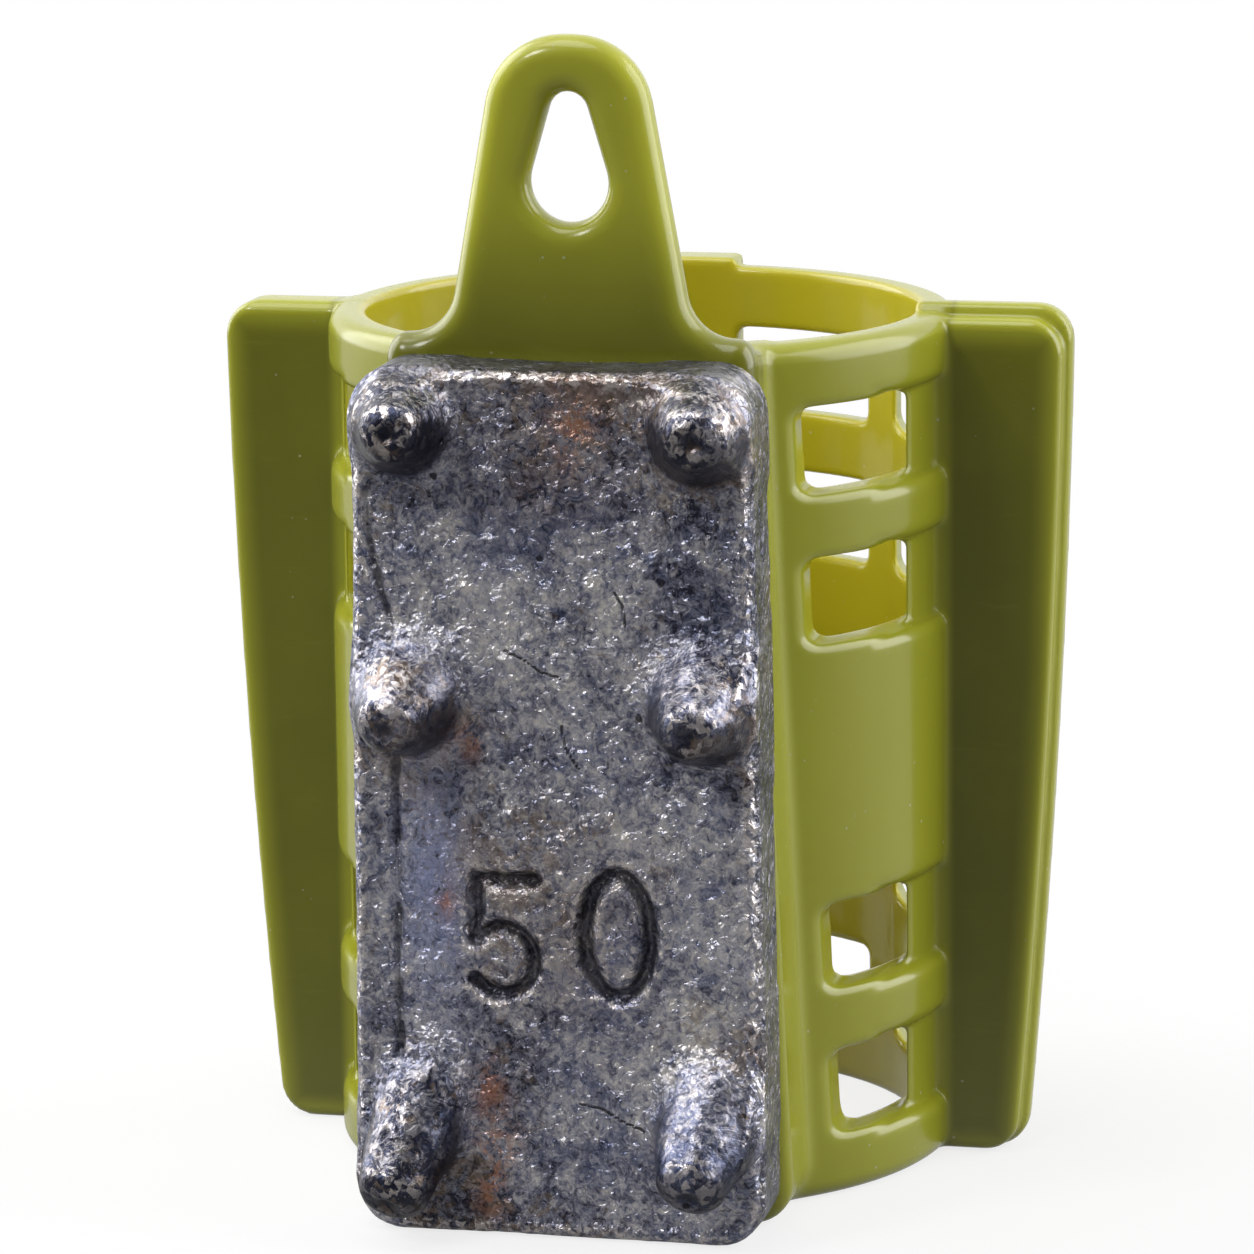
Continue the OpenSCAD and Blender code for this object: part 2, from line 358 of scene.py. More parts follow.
def lumps(x, y, z, size, seed):
    """Smooth noise from -1 to 1: seeded random values on a lattice, mixed with eased weights."""
    rng = np.random.default_rng(seed)
    table = rng.uniform(-1, 1, (64, 64, 64)).astype(np.float32)
    parts = []
    for v in (x, y, z):
        s = v / size + 512
        i = np.floor(s).astype(int)
        f = s - i
        parts.append((i % 64, (i + 1) % 64, f * f * (3 - 2 * f)))
    (x0, x1, u), (y0, y1, v), (z0, z1, w) = parts
    low = (table[x0, y0, z0] * (1 - u) + table[x1, y0, z0] * u) * (1 - v)
    low = low + (table[x0, y1, z0] * (1 - u) + table[x1, y1, z0] * u) * v
    high = (table[x0, y0, z1] * (1 - u) + table[x1, y0, z1] * u) * (1 - v)
    high = high + (table[x0, y1, z1] * (1 - u) + table[x1, y1, z1] * u) * v
    return low * (1 - w) + high * w


def mesh_piece(name, block, field, most):
    """Object from the surface of a field, in metres: its mesh thinned to the most triangles allowed, and
    shaded smooth along the field's own slope."""
    points, triangles, quads = block.skin(field)
    mesh = bpy.data.meshes.new(name)
    mesh.from_pydata((points * MM).tolist(), [], quads.tolist() + triangles.tolist())
    mesh.update()
    piece = bpy.data.objects.new(name, mesh)
    bpy.context.scene.collection.objects.link(piece)
    count = 2 * len(quads) + len(triangles)
    if count > most:
        thin = piece.modifiers.new("thin", "DECIMATE")
        thin.ratio = most / count
        graph = bpy.context.evaluated_depsgraph_get()
        thinned = bpy.data.meshes.new_from_object(piece.evaluated_get(graph))
        piece.modifiers.clear()
        piece.data = thinned
        thinned.name = name
    piece.data.polygons.foreach_set("use_smooth", np.ones(len(piece.data.polygons), bool))
    piece.data.normals_split_custom_set_from_vertices(block.slope(field, points_of(piece)).tolist())
    return piece


def points_of(piece):
    """A piece's points in millimetres."""
    co = np.empty(len(piece.data.vertices) * 3, np.float32)
    piece.data.vertices.foreach_get("co", co)
    return co.reshape(-1, 3) / MM


def mark(piece, name, values):
    """Keeps one number for each point of a piece, for its material to read."""
    layer = piece.data.attributes.new(name, "FLOAT", "POINT")
    layer.data.foreach_set("value", np.asarray(values, np.float32))


def wing_edge(z):
    """Distance of a wing's outer edge from the axis: a straight taper with a slight bow."""
    t = z / TUBE_H
    return TUBE_R + WING_FOOT + WING_FLARE * t + WING_BOW * 4 * t * (1 - t)


def wing_outline(inset, top):
    """Outline of the right wing: its straight root, and its edge through nine heights, set in."""
    rise = np.linspace(4, top - 4, 9)
    edge = [(wing_edge(z) - inset, z, SHARP) for z in rise]
    low = [(WING_ROOT, 0, SHARP), (wing_edge(0) - inset, 0, WING_CORNER)]
    high = [(wing_edge(top) - inset, top, WING_CORNER), (WING_ROOT, top, SHARP)]
    return rounded_outline(low + edge + high)


def pad_half(z):
    """Half width of the front pad at a height."""
    return PAD_BOTTOM + (PAD_TOP - PAD_BOTTOM) * z / TUBE_H


def window_outline(low_x, high_x, z0):
    """Outline of a right window: wide corners on its inner side, whose foot and head are given, and tight
    corners along an upright outer side."""
    z1 = z0 + WINDOW_H
    foot_x, head_x = low_x
    return rounded_outline([(foot_x, z0, WINDOW_WIDE_CORNER), (high_x, z0, WINDOW_TIGHT_CORNER),
                            (high_x, z1, WINDOW_TIGHT_CORNER), (head_x, z1, WINDOW_WIDE_CORNER)])


def front_window(z0):
    """Outline of a right front window: slanted along the pad, upright along the post."""
    return window_outline((pad_half(z0) + PAD_MARGIN, pad_half(z0 + WINDOW_H) + PAD_MARGIN), POST_X, z0)


def back_window(x0, x1, z0):
    """Outline of a right back window between two upright ribs."""
    return window_outline((x0, x0), x1, z0)


def teardrop(x, z, length, low_r, high_r):
    """Distance to two discs joined by their common tangents: the lower disc, the upper one, or the straight
    flank between them, whichever the point lies beside."""
    lean = (low_r - high_r) / length
    flat = math.sqrt(1 - lean * lean)
    along = flat * z - lean * x
    flank = flat * x + lean * z - low_r
    upper = np.hypot(x, z - length) - high_r
    return np.where(along < 0, np.hypot(x, z) - low_r, np.where(along > flat * length, upper, flank))


def cage_field(b):
    """Distance to the cage: a tube with rows of windows, joined with pad, loop, spine and wings, then bored,
    and drilled and pocketed for the lead's pegs."""
    x, y, z = b.x, b.y, b.z
    side = np.abs(x)
    r = np.hypot(x, y)
    body = rounded_pair(r - TUBE_R, between(z, 0, TUBE_H), HOOP_EDGE)
    keep_pad = np.maximum(side - (POST_X - POST_OVERLAP), y)
    for z0 in ROW_STARTS:
        ring = np.maximum(between(z, z0, z0 + WINDOW_H), RIB_R - r)
        body = carve(body, np.maximum(ring, -keep_pad), HOOP_EDGE)
    for z0 in ROW_STARTS:
        body = carve(body, np.maximum(b.prism(front_window(z0), True), y), FRONT_WINDOW_EDGE)
        for x0, x1 in ((SPINE_X, RIB_IN), (RIB_OUT, POST_X)):
            body = carve(body, np.maximum(b.prism(back_window(x0, x1, z0), True), -y), BACK_WINDOW_EDGE)
    pad = b.prism(rounded_outline(mirrored([(PAD_BOTTOM, 0, 2.3), (PAD_TOP, TUBE_H, 0.6)])))
    body = blend_low(body, rounded_pair(pad, between(y, PAD_Y, PAD_BACK), PAD_EDGE), FRONT_FILLET)
    plate = b.prism(rounded_outline(mirrored([
        (PAD_TOP - LOOP_INSET, LOOP_FOOT, 0.5), (PAD_TOP, LOOP_SHOULDER, 0.9),
        (LOOP_NECK, LOOP_SHOULDER, 2.6), (LOOP_TIP, LOOP_TOP, 4.2)])))
    plate = rounded_pair(plate, between(y, PAD_Y, PAD_Y + LOOP_T), LOOP_EDGE)
    plate = carve(plate, teardrop(side, z - EYE_Z, EYE_LENGTH, EYE_LOW_R, EYE_HIGH_R), EYE_EDGE)
    body = blend_low(body, plate, FRONT_FILLET)
    spine = np.maximum(between(y, SPINE_FRONT, SPINE_BACK), between(z, 0, TUBE_H + SPINE_RISE))
    body = blend_low(body, rounded_pair(side - SPINE_X, spine, SPINE_EDGE), SPINE_FILLET)
    body = blend_low(body, wings_field(b), WING_FILLET)
    body = carve(body, np.maximum(r - BORE_R, z - BORE_TOP), BORE_EDGE)
    for z0 in PEG_HEIGHTS:
        shank = np.hypot(x, z - z0)
        body = carve(body, np.maximum(shank - PEG_HOLE_R, y + 15), 0.1)
        body = carve(body, np.maximum(shank - POCKET_R, np.maximum(POCKET_FLOOR - y, y + 10)), 0.2)
    return body


def wings_field(b):
    """Distance to the wings: a front layer on both sides, bevelled along its top, and a back layer that
    stands out as a ledge on the right side and is flush on the left."""
    x, y, z = b.x, b.y, b.z
    flush = b.prism(wing_outline(WING_INSET, WING_TOP), True)
    back_layer = np.where(x > 0, b.prism(wing_outline(0, WING_LEDGE_TOP), True), flush)
    back_layer = rounded_pair(back_layer, between(y, -0.2, WING_T / 2), WING_EDGE)
    front_layer = np.where(x > 0, flush + 0.1, flush)
    front_layer = rounded_pair(front_layer, between(y, -WING_T / 2, 1.2), WING_EDGE)
    front_layer = np.maximum(front_layer, (z - y - WING_BEVEL) / math.sqrt(2))
    return np.minimum(back_layer, front_layer)


def stud_field(x, y, z, foot, tip, foot_r, tip_r):
    """Distance to a stud: a round cone from its foot to its blunt tip, its radius falling evenly along its
    axis, with a dimple left by the pour in the middle of the tip."""
    foot, tip = np.array(foot, np.float32), np.array(tip, np.float32)
    axis = tip - foot
    length = np.linalg.norm(axis)
    axis = axis / length
    px, py, pz = x - foot[0], y - foot[1], z - foot[2]
    along = px * axis[0] + py * axis[1] + pz * axis[2]
    off = np.sqrt(np.maximum(px * px + py * py + pz * pz - along * along, 0))
    t = np.clip(along / length, 0, 1)
    radius = foot_r + (tip_r - foot_r) * t
    slant = 0.92  # about the cosine of the taper, which turns the radial distance into the nearest one
    cone = rounded_pair(off - radius, along - length, TIP_ROUNDING * tip_r) * slant
    return carve(cone, np.hypot(off, along - length - DIMPLE_OUT) - DIMPLE_R, DIMPLE_EDGE)


# Foot and tip of each stud on the lead's face, with its radius at both, in millimetres
STUDS = [
    ((-7.9, LEAD_Y + 1.0, 44.2), (-7.7, LEAD_Y - 4.1, 44.3), 3.4, 1.3),
    ((8.2, LEAD_Y + 1.0, 44.2), (8.5, LEAD_Y - 4.1, 44.3), 3.6, 1.3),
    ((-7.7, LEAD_Y + 1.0, 29.6), (-8.1, LEAD_Y - 4.2, 28.5), 3.8, 1.25),
    ((8.2, LEAD_Y + 1.0, 29.7), (8.1, LEAD_Y - 4.2, 28.7), 3.8, 1.25),
    ((-7.4, LEAD_Y + 1.2, 7.6), (-8.5, LEAD_Y - 3.8, 2.4), 2.9, 1.8),
    ((8.4, LEAD_Y + 1.2, 7.4), (7.9, LEAD_Y - 3.9, 3.7), 3.3, 1.7),
]

# Path of the cold fold in the lead's face, beside its left edge, in millimetres
FOLD = np.array([(-10.1, 40.6), (-9.9, 37.9), (-9.3, 35.2), (-8.8, 33.6), (-8.5, 29.0), (-8.7, 23.8),
                 (-8.6, 20.0), (-8.75, 15.6), (-8.65, 10.0)])

# Short cracks in the lead's face, in millimetres
CRACKS = [
    np.array([(-2.6, 32.2), (-1.6, 31.8), (-0.6, 31.1), (0.5, 30.8)]),
    np.array([(0.5, 28.2), (0.6, 27.2), (1.0, 26.5), (1.4, 25.9)]),
    np.array([(1.2, 7.5), (2.4, 7.4), (3.6, 6.7), (4.8, 6.3)]),
    np.array([(3.4, 35.6), (3.9, 34.7), (4.0, 33.7)]),
]

# Patches of rust on the lead: place in X and Z, and width, in millimetres
RUST_PATCHES = (
    (1.4, 44.4, 0.9),
    (-4.5, 27.3, 0.5),
    (-3.7, 8.4, 0.6),
    (-3.4, 5.0, 0.8),
    (-3.7, 2.4, 0.6),
    (-6.0, 18.5, 0.4),
)


def number_paths():
    """Stroke paths of the figures 5 and 0 on the lead: straight bars, an arc for the bowl and an oval."""
    turn = np.radians(np.linspace(142, -143, 25))
    bowl = np.stack([BOWL_X + BOWL_R * np.cos(turn), BOWL_Z + BOWL_R * np.sin(turn)], -1)
    five = np.vstack([[[-1.15, 19.75], [-4.3, 19.75], [-4.35, 16.6]], bowl])
    turn = np.linspace(0, 2 * np.pi, 41)
    oval = np.stack([OVAL_X + OVAL_HALF_WIDTH * np.cos(turn), OVAL_Z + OVAL_HALF_HEIGHT * np.sin(turn)], -1)
    return five, oval


def lead_field(b):
    """Distance to the lead: a rounded block with six studs, made uneven, with a rim bead, a fold, a number
    cut as a V with raised lips, and two peened pegs."""
    x, y, z = b.x, b.y, b.z
    outline = b.prism(rounded_outline(mirrored([
        (LEAD_BOTTOM, 0, LEAD_CORNER), (LEAD_TOP, LEAD_H, LEAD_CORNER)])))
    body = rounded_pair(outline, between(y, LEAD_Y, LEAD_BACK), LEAD_EDGE)
    for foot, tip, foot_r, tip_r in STUDS:
        body = blend_low(body, stud_field(x, y, z, foot, tip, foot_r, tip_r), STUD_FILLET)
    uneven = sum(height * lumps(x, y, z, size, seed) for height, size, seed in LEAD_LUMPS)
    rim = RIM_H * bell((outline + RIM_IN) / RIM_WIDTH)
    fold = b.groove(FOLD) + FOLD_WANDER * lumps(x, 0 * y, z, FOLD_LUMP_SIZE, FOLD_LUMP_SEED)
    on_face = ramp(y, LEAD_Y - 1.2, 0.8)
    body = body + uneven - rim + FOLD_DEPTH * bell(fold / FOLD_WIDTH) * on_face
    body = np.maximum(body, np.maximum(outline - 0.12, np.maximum(y - PAD_Y, -z)))
    five, oval = number_paths()
    stroke = np.minimum(b.groove(five), b.groove(oval))
    body = body - LIP_H * bell((stroke - FIGURE_HALF - LIP_OUT) / LIP_WIDTH)
    slope = FIGURE_DEPTH / FIGURE_HALF
    cut = (y - LEAD_Y - FIGURE_DEPTH + slope * stroke) / math.hypot(1, slope)
    body = carve(body, cut, 0.12)
    for z0 in PEG_HEIGHTS:
        shank = np.hypot(x, z - z0)
        body = np.minimum(body, np.maximum(shank - PEG_R, between(y, PEG_FRONT, PEG_BACK)))
        head = rounded_pair(shank - PEG_HEAD_R, between(y, POCKET_FLOOR, PEG_HEAD_BACK), PEG_HEAD_EDGE)
        body = np.minimum(body, head)
    return body


class Value:
    """A shader value: each operator on it adds the Math node that works it out."""

    def __init__(self, shader, socket):
        self.shader = shader
        self.socket = socket

    def __add__(self, other):
        return self.shader.maths("ADD", self, other)

    def __sub__(self, other):
        return self.shader.maths("SUBTRACT", self, other)

    def __rsub__(self, other):
        return self.shader.maths("SUBTRACT", other, self)

    def __mul__(self, other):
        return self.shader.maths("MULTIPLY", self, other)

    def __truediv__(self, other):
        return self.shader.maths("DIVIDE", self, other)

    __radd__ = __add__
    __rmul__ = __mul__


class Shader:
    """A material's or the world's nodes, with one method that adds any node."""

    def __init__(self, tree):
        self.tree = tree
        tree.nodes.clear()

    def node(self, kind, settings=None, inputs=None, out=0):
        """Adds a node, sets its settings first, then its sockets by number or name, and gives one output."""
        n = self.tree.nodes.new(kind)
        for key, value in (settings or {}).items():
            if key == "stops":
                band = n.color_ramp
                while len(band.elements) < len(value):
                    band.elements.new(0.5)
                for element, (at, rgb) in zip(band.elements, value):
                    element.position = at
                    element.color = (*rgb, 1)
            else:
                setattr(n, key, value)
        for key, value in (inputs or {}).items():
            if isinstance(value, Value):
                self.tree.links.new(value.socket, n.inputs[key])
            else:
                n.inputs[key].default_value = value
        return Value(self, n.outputs[out]) if n.outputs else None

    def maths(self, operation, a, b=0.0):
        """One Math node on one or two values."""
        return self.node("ShaderNodeMath", {"operation": operation}, {0: a, 1: b})

    def step(self, v, low, high):
        """0 below low, 1 above high, eased between."""
        return self.node("ShaderNodeMapRange", {"interpolation_type": "SMOOTHSTEP"},
                         {"Value": v, "From Min": low, "From Max": high})

    def noise(self, at, scale, detail=4.0, rough=0.55, twist=0.0):
        """Noise from 0 to 1 at a place, in layers that each halve the size, bent by a twist."""
        return self.node("ShaderNodeTexNoise", {}, {"Vector": at, "Scale": scale, "Detail": detail,
                                                    "Roughness": rough, "Distortion": twist})

    def mix(self, factor, a, b):
        """Colour a turned towards colour b by a factor."""
        return self.node("ShaderNodeMix", {"data_type": "RGBA"}, {0: factor, 6: a, 7: b}, 2)

    def bent(self, at, scale, by):
        """A place pushed about by noise, as far as by in metres."""
        push = self.node("ShaderNodeTexNoise", {}, {"Vector": at, "Scale": scale, "Detail": 3.0}, 1)
        inputs = {0: push, 1: (by, by, by), 2: at}
        return self.node("ShaderNodeVectorMath", {"operation": "MULTIPLY_ADD"}, inputs)

    def cells(self, at, scale):
        """A random number for each cell of a Voronoi pattern."""
        tint = self.node("ShaderNodeTexVoronoi", {}, {"Vector": at, "Scale": scale}, 1)
        return self.node("ShaderNodeSeparateColor", {}, {0: tint}, 0)

    def facets(self, at, scale):
        """Height of flat facets: in each Voronoi cell, the way from its middle along its own random slope."""
        inputs = {"Vector": at, "Scale": scale}
        middle = self.node("ShaderNodeTexVoronoi", {}, inputs, 2)
        tint = self.node("ShaderNodeTexVoronoi", {}, inputs, 1)
        way = self.node("ShaderNodeVectorMath", {"operation": "SUBTRACT"}, {0: at, 1: middle})
        slope = self.node("ShaderNodeVectorMath", {"operation": "SUBTRACT"}, {0: tint, 1: (0.5, 0.5, 0.5)})
        return self.node("ShaderNodeVectorMath", {"operation": "DOT_PRODUCT"}, {0: way, 1: slope}, 1)

    def spots(self, at, scale):
        """Distance to the middle of the nearest Voronoi cell, as a share of a cell."""
        return self.node("ShaderNodeTexVoronoi", {"feature": "F1"}, {"Vector": at, "Scale": scale})

    def place(self):
        """Object coordinates, in metres."""
        return self.node("ShaderNodeTexCoord", {}, {}, 3)

    def along(self, at, axis):
        """Distance of a place along one axis, in millimetres."""
        return self.node("ShaderNodeSeparateXYZ", {}, {0: at}, axis) / MM

    def crease(self, at, scale):
        """Height that folds sharply along the winding lines where a noise passes its middle."""
        return self.maths("ABSOLUTE", self.noise(at, scale, 2, 0.5) - 0.5)

    def number(self, name):
        """A number that was kept for each point of the piece."""
        return self.node("ShaderNodeAttribute", {"attribute_name": name}, {}, 2)

    def rays(self):
        """Two values: 1 for the camera's own rays, and 1 for rays mirrored in gloss or through glass."""
        seen, gloss, glass = [self.node("ShaderNodeLightPath", {}, {}, out) for out in (0, 3, 6)]
        return seen, self.maths("MAXIMUM", gloss, glass)


def colour(rgb):
    """Linear colour with alpha from sRGB numbers out of 255."""
    s = np.array(rgb) / 255
    return (*np.where(s <= 0.04045, s / 12.92, ((s + 0.055) / 1.055) ** 2.4).tolist(), 1.0)


def new_material(name):
    """A new material and the shader that fills it."""
    material = bpy.data.materials.new(name)
    material.use_nodes = True
    return material, Shader(material.node_tree)


def finish(shader, surface):
    """Puts a surface on the material's output."""
    shader.node("ShaderNodeOutputMaterial", {}, {"Surface": surface})


def painted_light_in_plastic(s, side, y, z):
    """Where painted light shows through the moulding, paler as if lit through thin plastic: the highest of
    the wings' borders, the loop and its limbs, and the wall.
    """
    border = s.maths("MAXIMUM", s.step(wing_edge(z) - side, 2.0, 0.1), s.step(z, TUBE_H - 2.2, TUBE_H - 0.3))
    border = s.maths("MAXIMUM", border, s.step(z, 1.6, 0.1)) * s.step(side, 17.2, 18.0)
    limb = s.step(6.75 - (z - LOOP_SHOULDER) * 0.19 - side, 1.9, 0.2)
    loop = s.step(z, 47, 50.5) * s.step(y, -14, -15) * (limb * 0.3 + s.step(z, 49, 57) * 0.62 + 0.16)
    neck = s.step(z, 44.5, 46.5) * s.step(y, -14.5, -15.5)
    wall = s.step(side, 18.0, 17.2) * s.step(z, 49.0, 48.0) * (1 - neck) * 0.56
    return s.maths("MAXIMUM", border * 0.7, s.maths("MAXIMUM", loop, wall))


def olive_plastic():
    """Semi-gloss olive moulding: yellower inside and paler where it is thin, both painted light glowing
    through the plastic, with flow marks and dust.
    """
    material, s = new_material("olive_plastic")
    at = s.place()
    broad = s.noise(at, 90, 3)
    fine = s.noise(at, 1400, 3)
    flow = s.noise(s.node("ShaderNodeMapping", {}, {"Vector": at, "Scale": (300, 300, 2600)}), 1.0, 3)
    side = s.maths("ABSOLUTE", s.along(at, 0))
    y = s.along(at, 1)
    z = s.along(at, 2)
    inside = s.step(s.maths("SQRT", side * side + y * y), BORE_R + 0.6, BORE_R + 0.1)
    base = s.mix(s.step(broad, 0.35, 0.7), colour(OLIVE), colour(OLIVE_LIGHT))
    # Painted light: wings' borders, the loop and the wall turned paler, as if lit through the plastic
    base = s.mix(painted_light_in_plastic(s, side, y, z), base, colour(OLIVE_PAINTED_LIGHT))
    # Painted light: the bore's inside turned yellower, as light glowing through the wall and bouncing there
    base = s.mix(inside * 0.85, base, colour(OLIVE_INSIDE_LIGHT))
    base = s.mix(s.step(flow, 0.6, 0.8) * 0.12, base, colour(OLIVE_FLOW))
    dust = s.step(s.spots(at, 900), 0.09, 0.05) * s.step(s.noise(at, 160, 2), 0.5, 0.58)
    base = s.mix(dust * 0.5, base, colour(DUST))
    height = broad * 0.25 + fine * 0.05 + flow * 0.12
    bump = s.node("ShaderNodeBump", {}, {"Height": height, "Strength": 0.12, "Distance": 0.0004})
    surface = s.node("ShaderNodeBsdfPrincipled", {}, {
        "Base Color": base, "Roughness": fine * 0.1 + 0.2, "Normal": bump, "IOR": 1.5,
        "Coat Weight": 0.3, "Coat Roughness": 0.07,
        "Subsurface Weight": 0.25, "Subsurface Radius": (1.0, 0.9, 0.25), "Subsurface Scale": 0.0016})
    finish(s, surface)
    return material


def cast_lead():
    """Dull cast lead: mottled bluish grey and brown with creases and flecks, partly painted glints, patches
    of rust, a bluish zone partly painted lighter as light on its left, bright where rubbed and with painted
    highlights on its studs' tops, painted shade in its hollows, flanks, top and sides, with pits and cracks.
    Its studs are smoother than its face."""
    material, s = new_material("cast_lead")
    at = s.place()
    drift = s.bent(at, 900, 0.0006)
    cloud = s.noise(at, 190, 5, 0.65, 1.2)
    zone = s.noise(at, 60, 2, 0.5)
    flake = s.cells(drift, 2600)
    grain = s.noise(at, 1500, 4, 0.7, 1.8)
    stroke = s.noise(drift, 3400, 2, 0.6, 2.5)
    blue = s.number("blue")
    face = s.step(s.along(at, 1), LEAD_Y - 1.4, LEAD_Y - 0.2)
    mottle = (flake - 0.5) * 0.25 + (grain - 0.5) * 1.5
    tone = (cloud - 0.5) * 1.25 + mottle * (face * 0.5 + 0.5) + (zone - 0.5) * 0.8 + face * 0.26 + 0.22
    stops = [(place, colour(rgb)[:3]) for place, rgb in LEAD_TONES]
    base = s.node("ShaderNodeValToRGB", {"stops": stops}, {"Fac": tone})
    hue = s.noise(drift, 800, 3, 0.6, 1.5) * 0.45 + s.noise(at, 110, 3, 0.6) * 0.55
    base = s.mix(s.step(hue, 0.5, 0.62) * 0.26, base, colour(COOL_TINT))
    base = s.mix(s.step(hue, 0.48, 0.4) * 0.45, base, colour(WARM_TINT))
    base = s.mix(s.number("brown") * s.step(grain, 0.35, 0.6) * 0.45, base, colour(BROWN))
    # Bluish patina on the left, partly painted lighter as light falling there
    base = s.mix(blue * s.step(grain, 0.3, 0.55) * 0.85, base, colour(BLUE_AND_LIGHT))
    patchy = s.step(grain * 0.5 + s.noise(drift, 700, 4, 0.7) * 0.5, 0.44, 0.56)
    base = s.mix(s.number("rust") * patchy * 0.75, base, colour(RUST))
    # Rubbed metal on high places and the number's lips, with part of the painted highlight on the studs' tops
    bare_and_highlight = s.number("worn") * s.step(grain * 0.6 + flake * 0.4, 0.48, 0.62)
    base = s.mix(bare_and_highlight * 0.55, base, colour(BARE_AND_HIGHLIGHT))
    # Light flecks, partly painted glints, with less metal there so they catch more light
    fleck_and_glint = s.step(stroke, 0.6, 0.68) * s.step(cloud, 0.35, 0.6) * (face * 0.6 + 0.4)
    base = s.mix(fleck_and_glint * 0.75, base, colour(FLECK_AND_GLINT))
    base = s.mix(s.step(stroke, 0.38, 0.3) * (face * 0.35 + 0.15), base, colour(STROKE))
    # Painted shade on the studs' flanks and undersides, the lead's top face and its sides
    base = s.mix(s.number("flank") * 0.78, base, colour(SHADE))
    # Painted shade in concave places and in the cut strokes of the number
    base = s.mix(s.number("hollow") * 0.75, base, colour(SHADE))
    # Painted highlight: the upward-facing parts of the studs turned near-white
    base = s.mix(s.number("crown") * s.step(grain, 0.5, 0.62) * 0.4, base, colour(CROWN_HIGHLIGHT))
    crack = s.step(s.number("crack") + (grain - 0.5) * 0.8, 0.45, 0.7)
    pits = s.step(s.spots(drift, 560), 0.15, 0.08) * s.step(s.noise(at, 230, 2), 0.58, 0.62)
    dark = s.maths("MAXIMUM", crack, pits)
    base = s.mix(dark * 0.85, base, colour(CRACK))
    crumple = s.crease(drift, 650) * 1.1 + s.crease(drift, 1500) * 0.6 + s.facets(drift, 1900) * 700
    height = cloud * 0.5 + crumple * (face * 1.4 + 0.4) - dark * 0.35
    bump = s.node("ShaderNodeBump", {}, {"Height": height, "Strength": 0.8, "Distance": 0.0004})
    surface = s.node("ShaderNodeBsdfPrincipled", {}, {
        "Base Color": base, "Metallic": 0.72 - face * 0.12 - fleck_and_glint * 0.35 - blue * 0.3,
        "Roughness": 0.32 - bare_and_highlight * 0.06 + (grain - 0.5) * 0.3, "Normal": bump})
    finish(s, surface)
    return material


def camera():
    """Camera of the photograph: a long lens a third of a metre away, above and to the right of the face."""
    data = bpy.data.cameras.new("camera")
    data.sensor_width = SENSOR
    data.lens = SENSOR * FOCAL_PIXELS / IMAGE_PIXELS
    data.clip_start = 0.01
    right = Vector(CAMERA_RIGHT)
    up = Vector(CAMERA_UP)
    back = right.cross(up)
    turn = Matrix((right, up, back)).transposed().to_4x4()
    cam = bpy.data.objects.new("camera", data)
    cam.matrix_world = Matrix.Translation(Vector(CAMERA_PLACE) * MM) @ turn
    bpy.context.scene.collection.objects.link(cam)
    bpy.context.scene.camera = cam


def softbox(name, place, side, watts):
    """Flat square soft lamp at a place, in millimetres, that faces the part."""
    data = bpy.data.lights.new(name, "AREA")
    data.shape = "RECTANGLE"
    data.size, data.size_y = side * MM, side * MM
    data.energy = watts
    lamp = bpy.data.objects.new(name, data)
    lamp.location = Vector(place) * MM
    lamp.rotation_euler = (Vector(LAMP_AIM) - Vector(place)).to_track_quat("-Z", "Y").to_euler()
    bpy.context.scene.collection.objects.link(lamp)


def tent():
    """Light tent: a world that is white to the camera, faint as light, and in mirrored rays dims towards the
    camera's side, with soft lamps in front, above and beside."""
    scene = bpy.context.scene
    scene.view_settings.view_transform = "Standard"
    world = bpy.data.worlds.new("tent")
    world.use_nodes = True
    scene.world = world
    s = Shader(world.node_tree)
    way = s.node("ShaderNodeSeparateXYZ", {}, {0: s.node("ShaderNodeTexCoord", {}, {}, 0)}, 1)
    seen, shown = s.rays()
    bright = s.step(way, -0.7, 0.5) * 0.88 + 0.12
    strength = seen + (1 - seen) * (shown * bright + (1 - shown) * WORLD_LIGHT)
    back = s.node("ShaderNodeBackground", {}, {"Color": (1, 1, 1, 1), "Strength": strength})
    s.node("ShaderNodeOutputWorld", {}, {"Surface": back})
    for lamp in LAMPS:
        softbox(*lamp)


def pale_floor():
    """Floor: white to the camera, with a share of matt near the part, which takes a soft shadow. Behind the
    part it is also mirrored as pale, and as light it gives back little."""
    size = FLOOR_HALF * MM
    mesh = bpy.data.meshes.new("floor")
    corners = [(-size, -size, 0), (size, -size, 0), (size, size, 0), (-size, size, 0)]
    mesh.from_pydata(corners, [], [(0, 1, 2, 3)])
    floor = bpy.data.objects.new("floor", mesh)
    bpy.context.scene.collection.objects.link(floor)
    material, f = new_material("pale_floor")
    seen, shown = f.rays()
    at = f.place()
    x, y = f.along(at, 0), f.along(at, 1)
    away = f.step(y, -60, 20)
    near = f.step(f.maths("SQRT", x * x + y * y), 130, 40)
    grey = f.mix(seen, (0.2, 0.2, 0.2, 1), (0.9, 0.9, 0.9, 1))
    matt = f.node("ShaderNodeBsdfDiffuse", {}, {"Color": grey})
    white = f.node("ShaderNodeEmission", {}, {"Color": (1, 1, 1, 1), "Strength": 1.0})
    share = seen * (1 - near * 0.22) + shown * away * 0.55
    finish(f, f.node("ShaderNodeMixShader", {}, {0: share, 1: matt, 2: white}))
    mesh.materials.append(material)


def build_cage():
    """The moulding, in place of its plain solid."""
    block = Block((-25.2, -19.0, -0.8), (25.2, 18.8, 65.2), CAGE_STEP)
    field = cage_field(block)
    piece = mesh_piece("cage", block, field, MOST_TRIANGLES)
    piece.data.materials.append(olive_plastic())
    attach(piece, "root")
    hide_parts("cage_body")


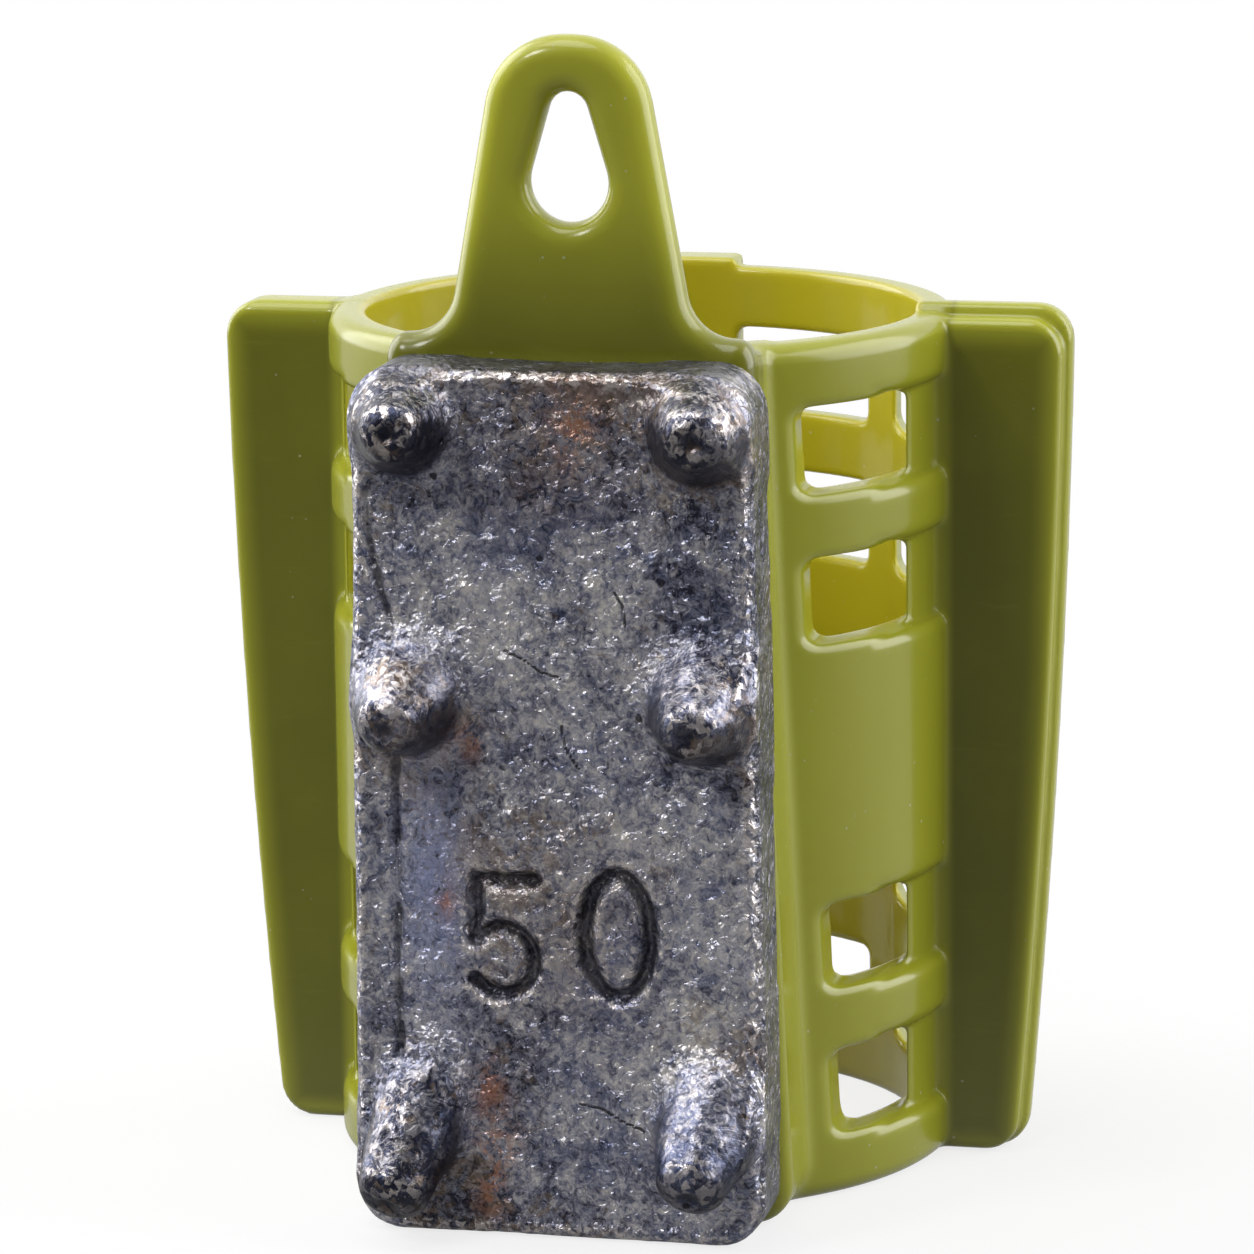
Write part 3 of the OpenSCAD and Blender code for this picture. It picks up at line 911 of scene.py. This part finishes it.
def mark_lead(piece, block, field):
    """Marks for the lead's material: wear on high places with a share of painted highlight, painted shade in
    hollows, on the studs' flanks, the top and the sides, painted highlight on the studs' tops, patches of
    rust, cracks, and its bluish and brown zones, the bluish one partly painted lighter as light on the left."""
    p = points_of(piece)
    x, y, z = p.T
    swell = block.swell(field, p, 0.5)
    facing = block.slope(field, p)
    sideways = np.abs(facing[:, 0])
    upwards = facing[:, 2]
    stroke = np.min([path_distance(path, x, z) for path in number_paths()], axis=0)
    lip = bell((stroke - FIGURE_HALF - 0.08) / 0.1)
    # Painted shade in concave places and inside the cut strokes of the number
    cut = np.clip((FIGURE_HALF - stroke) / 0.2, 0, 1) * (0.45 + stroke) * (y < PAD_Y - 2)
    mark(piece, "hollow", np.clip((-swell - 0.04) / 0.16 + cut, 0, 1))
    stud = np.clip((LEAD_Y - 0.3 - y) / 0.8, 0, 1)
    # Painted highlight: how far a stud's surface faces upwards
    crown = ramp(upwards, 0.3, 0.4) * stud
    mark(piece, "crown", crown)
    # Wear on high places and the number's lips, plus a share of the painted highlight on the studs
    mark(piece, "worn", np.clip((swell - 0.02) / 0.1 + lip * 0.7 + crown * 0.3, 0, 1))
    # Painted shade: studs' sides and undersides, the top face of the lead, and its sides, darker on the right
    flank = np.clip(sideways * 0.8 - upwards * 1.1, 0, 1) * stud
    painted_top_shade = ramp(upwards, 0.75, 0.2) * (z > LEAD_H - 1.5)
    painted_side_shade = ramp(sideways, 0.55, 0.3) * np.where(x > 0, 0.8, 0.5) * (y > LEAD_Y)
    mark(piece, "flank", np.maximum(flank, np.maximum(painted_top_shade, painted_side_shade)))
    rust = sum(np.exp(-((x - px) ** 2 + ((z - pz) / 1.6) ** 2) / (2 * w * w)) for px, pz, w in RUST_PATCHES)
    mark(piece, "rust", np.clip(rust, 0, 1))
    split = np.min([path_distance(path, x, z) for path in CRACKS], axis=0)
    mark(piece, "crack", bell(split / 0.11) * (y < LEAD_Y + 1))
    # Bluish zone on the lead's left, partly painted lighter as light falling there
    mark(piece, "blue", bell((x + 6.7) / 1.8, (z - 19.5) / 6.0))
    mark(piece, "brown", bell(x / 4.5, (z - 42.0) / 3.5) + bell((x - 1.0) / 4.0, (z - 16.5) / 5.0))


def build_lead():
    """The casting, in place of its plain solid."""
    block = Block((-12.4, -27.4, -0.7), (12.4, -15.2, 48.1), LEAD_STEP)
    field = lead_field(block)
    piece = mesh_piece("lead", block, field, MOST_TRIANGLES)
    mark_lead(piece, block, field)
    piece.data.materials.append(cast_lead())
    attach(piece, "root")
    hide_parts("lead_weight")


camera()
tent()
pale_floor()
build_cage()
build_lead()
